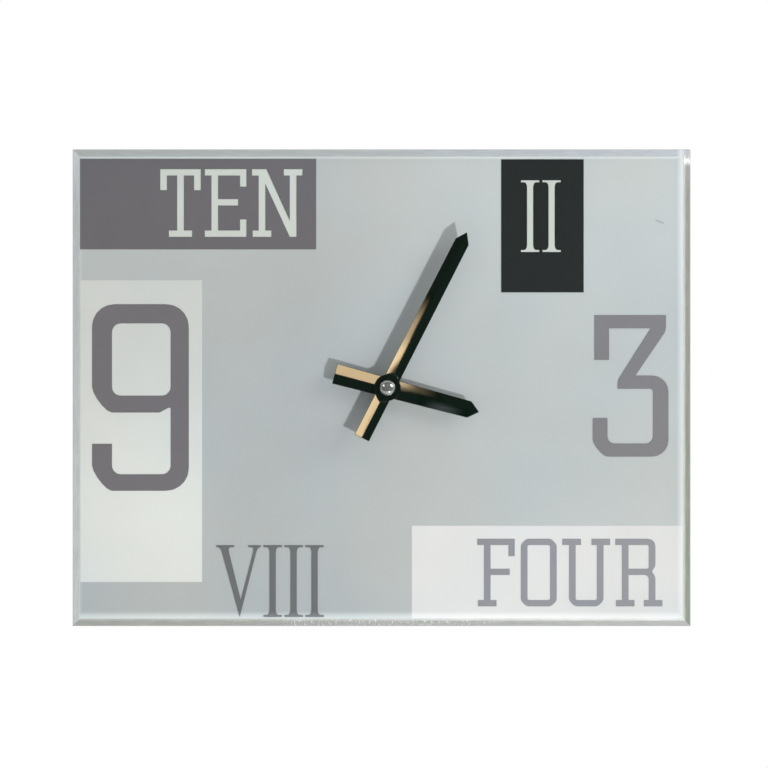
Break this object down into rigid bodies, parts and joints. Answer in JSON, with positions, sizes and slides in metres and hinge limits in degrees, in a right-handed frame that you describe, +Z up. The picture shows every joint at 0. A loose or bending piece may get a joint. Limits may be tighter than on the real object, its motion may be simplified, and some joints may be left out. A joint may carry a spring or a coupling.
{
  "type": "analogue quartz wall clock",
  "caption": "Rectangular bevelled glass wall clock, back-printed with mixed numerals, with black folded hands and a full battery movement.",
  "frame": {"origin": "top of the hanging slot's arch, on the wall plane", "axes": "+X to the viewer's right, +Y into the wall, +Z up; the dial faces -Y"},
  "size_m": [0.35, 0.0377, 0.27],
  "materials": {
    "clear_glass": "clear float glass, polished, with a polished bevel",
    "ground_ink": "pale grey ink on the back of the glass",
    "cream_ink": "cream ink on the back of the glass",
    "dark_ink": "dark grey ink on the back of the glass",
    "black_ink": "near-black ink on the back of the glass",
    "grey_ink": "mid grey ink on the back of the glass",
    "black_lacquer": "gloss black lacquer on pressed aluminium sheet",
    "bright_steel": "bright plated steel",
    "zinc_steel": "zinc plated sheet steel",
    "turned_brass": "turned brass",
    "black_plastic": "black moulded plastic, finely textured",
    "white_plastic": "white moulded plastic",
    "grey_rubber": "soft rubber",
    "enamelled_copper": "enamelled copper wire",
    "board": "green laminate",
    "magnet": "pressed magnet",
    "cell_jacket": "printed jacket on a dry cell"
  },
  "bodies": {
    "clock_body": {"glass_panel": "clear_glass", "ground_coat": "ground_ink", "backing_ten": "cream_ink", "backing_two": "cream_ink", "block_nine": "cream_ink", "block_four": "cream_ink", "block_ten": "dark_ink", "numeral_nine": "dark_ink", "block_two": "black_ink", "numeral_three": "grey_ink", "letter_f": "grey_ink", "letter_o": "grey_ink", "letter_u": "grey_ink", "letter_r": "grey_ink", "roman_v": "grey_ink", "roman_i_1": "grey_ink", "roman_i_2": "grey_ink", "roman_i_3": "grey_ink", "threaded_stud": "turned_brass", "hex_nut": "turned_brass", "flat_washer": "turned_brass", "rubber_washer": "grey_rubber", "hanger_bracket": "zinc_steel", "movement_case": "black_plastic", "rear_cover": "black_plastic", "driver_chip": "black_plastic", "train_plate": "white_plastic", "stator_plate": "zinc_steel", "coil_core": "zinc_steel", "coil_bobbin": "white_plastic", "coil_winding": "enamelled_copper", "circuit_board": "board", "quartz_crystal": "bright_steel", "contact_positive": "zinc_steel", "contact_negative": "zinc_steel", "negative_lead": "turned_brass", "spacer_1": "white_plastic", "pad_1": "grey_rubber", "spacer_2": "white_plastic", "pad_2": "grey_rubber", "spacer_3": "white_plastic", "pad_3": "grey_rubber", "spacer_4": "white_plastic", "pad_4": "grey_rubber"},
    "minute_hand_set": {"minute_hand": "black_lacquer", "minute_hand_bush": "turned_brass", "cap_nut": "bright_steel", "minute_arbor": "bright_steel"},
    "hour_hand_set": {"hour_hand": "black_lacquer", "hour_hand_bush": "turned_brass", "hour_wheel": "white_plastic"},
    "minute_wheel_body": {"minute_wheel": "white_plastic"},
    "set_knob_body": {"set_knob": "white_plastic"},
    "center_wheel_body": {"center_wheel": "white_plastic"},
    "third_wheel_body": {"third_wheel": "white_plastic"},
    "fourth_wheel_body": {"fourth_wheel": "white_plastic"},
    "fifth_wheel_body": {"fifth_wheel": "white_plastic"},
    "rotor_body": {"rotor_arbor": "white_plastic", "rotor_magnet": "magnet"},
    "battery_body": {"battery_cell": "cell_jacket"}
  },
  "joints": [
    {"name": "minute_hand_turn", "type": "hinge", "parent": "clock_body", "child": "minute_hand_set", "pos_m": [0, -0.01, -0.0427], "axis": [0, 1, 0], "continuous": true},
    {"name": "hour_hand_turn", "type": "hinge", "parent": "clock_body", "child": "hour_hand_set", "pos_m": [0, -0.01, -0.0427], "axis": [0, 1, 0], "continuous": true},
    {"name": "minute_wheel_turn", "type": "hinge", "parent": "clock_body", "child": "minute_wheel_body", "pos_m": [0.00945, -0.01, -0.04437], "axis": [0, 1, 0], "continuous": true},
    {"name": "set_knob_turn", "type": "hinge", "parent": "clock_body", "child": "set_knob_body", "pos_m": [0.01565, -0.01, -0.03552], "axis": [0, 1, 0], "continuous": true},
    {"name": "fourth_wheel_turn", "type": "hinge", "parent": "clock_body", "child": "fourth_wheel_body", "pos_m": [-0.01643, -0.01, -0.03769], "axis": [0, 1, 0], "continuous": true},
    {"name": "third_wheel_turn", "type": "hinge", "parent": "clock_body", "child": "third_wheel_body", "pos_m": [-0.00915, -0.01, -0.0419], "axis": [0, 1, 0], "continuous": true},
    {"name": "center_wheel_turn", "type": "hinge", "parent": "clock_body", "child": "center_wheel_body", "pos_m": [0, -0.01, -0.0427], "axis": [0, 1, 0], "continuous": true},
    {"name": "fifth_wheel_turn", "type": "hinge", "parent": "clock_body", "child": "fifth_wheel_body", "pos_m": [-0.01298, -0.01, -0.0312], "axis": [0, 1, 0], "continuous": true},
    {"name": "rotor_turn", "type": "hinge", "parent": "clock_body", "child": "rotor_body", "pos_m": [-0.00668, -0.01, -0.0312], "axis": [0, 1, 0], "continuous": true},
    {"name": "battery_slide", "type": "slide", "parent": "clock_body", "child": "battery_body", "axis": [0, 1, 0], "range_m": [0, 0.018]}
  ],
  "couplings": [
    {"joint": "hour_hand_turn", "follows": "minute_hand_turn", "ratio": 0.083333},
    {"joint": "minute_wheel_turn", "follows": "minute_hand_turn", "ratio": -0.33333},
    {"joint": "set_knob_turn", "follows": "minute_hand_turn", "ratio": 0.66667},
    {"joint": "third_wheel_turn", "follows": "fourth_wheel_turn", "ratio": -0.13333},
    {"joint": "center_wheel_turn", "follows": "fourth_wheel_turn", "ratio": 0.016667},
    {"joint": "fifth_wheel_turn", "follows": "fourth_wheel_turn", "ratio": -6},
    {"joint": "rotor_turn", "follows": "fourth_wheel_turn", "ratio": 30}
  ]
}
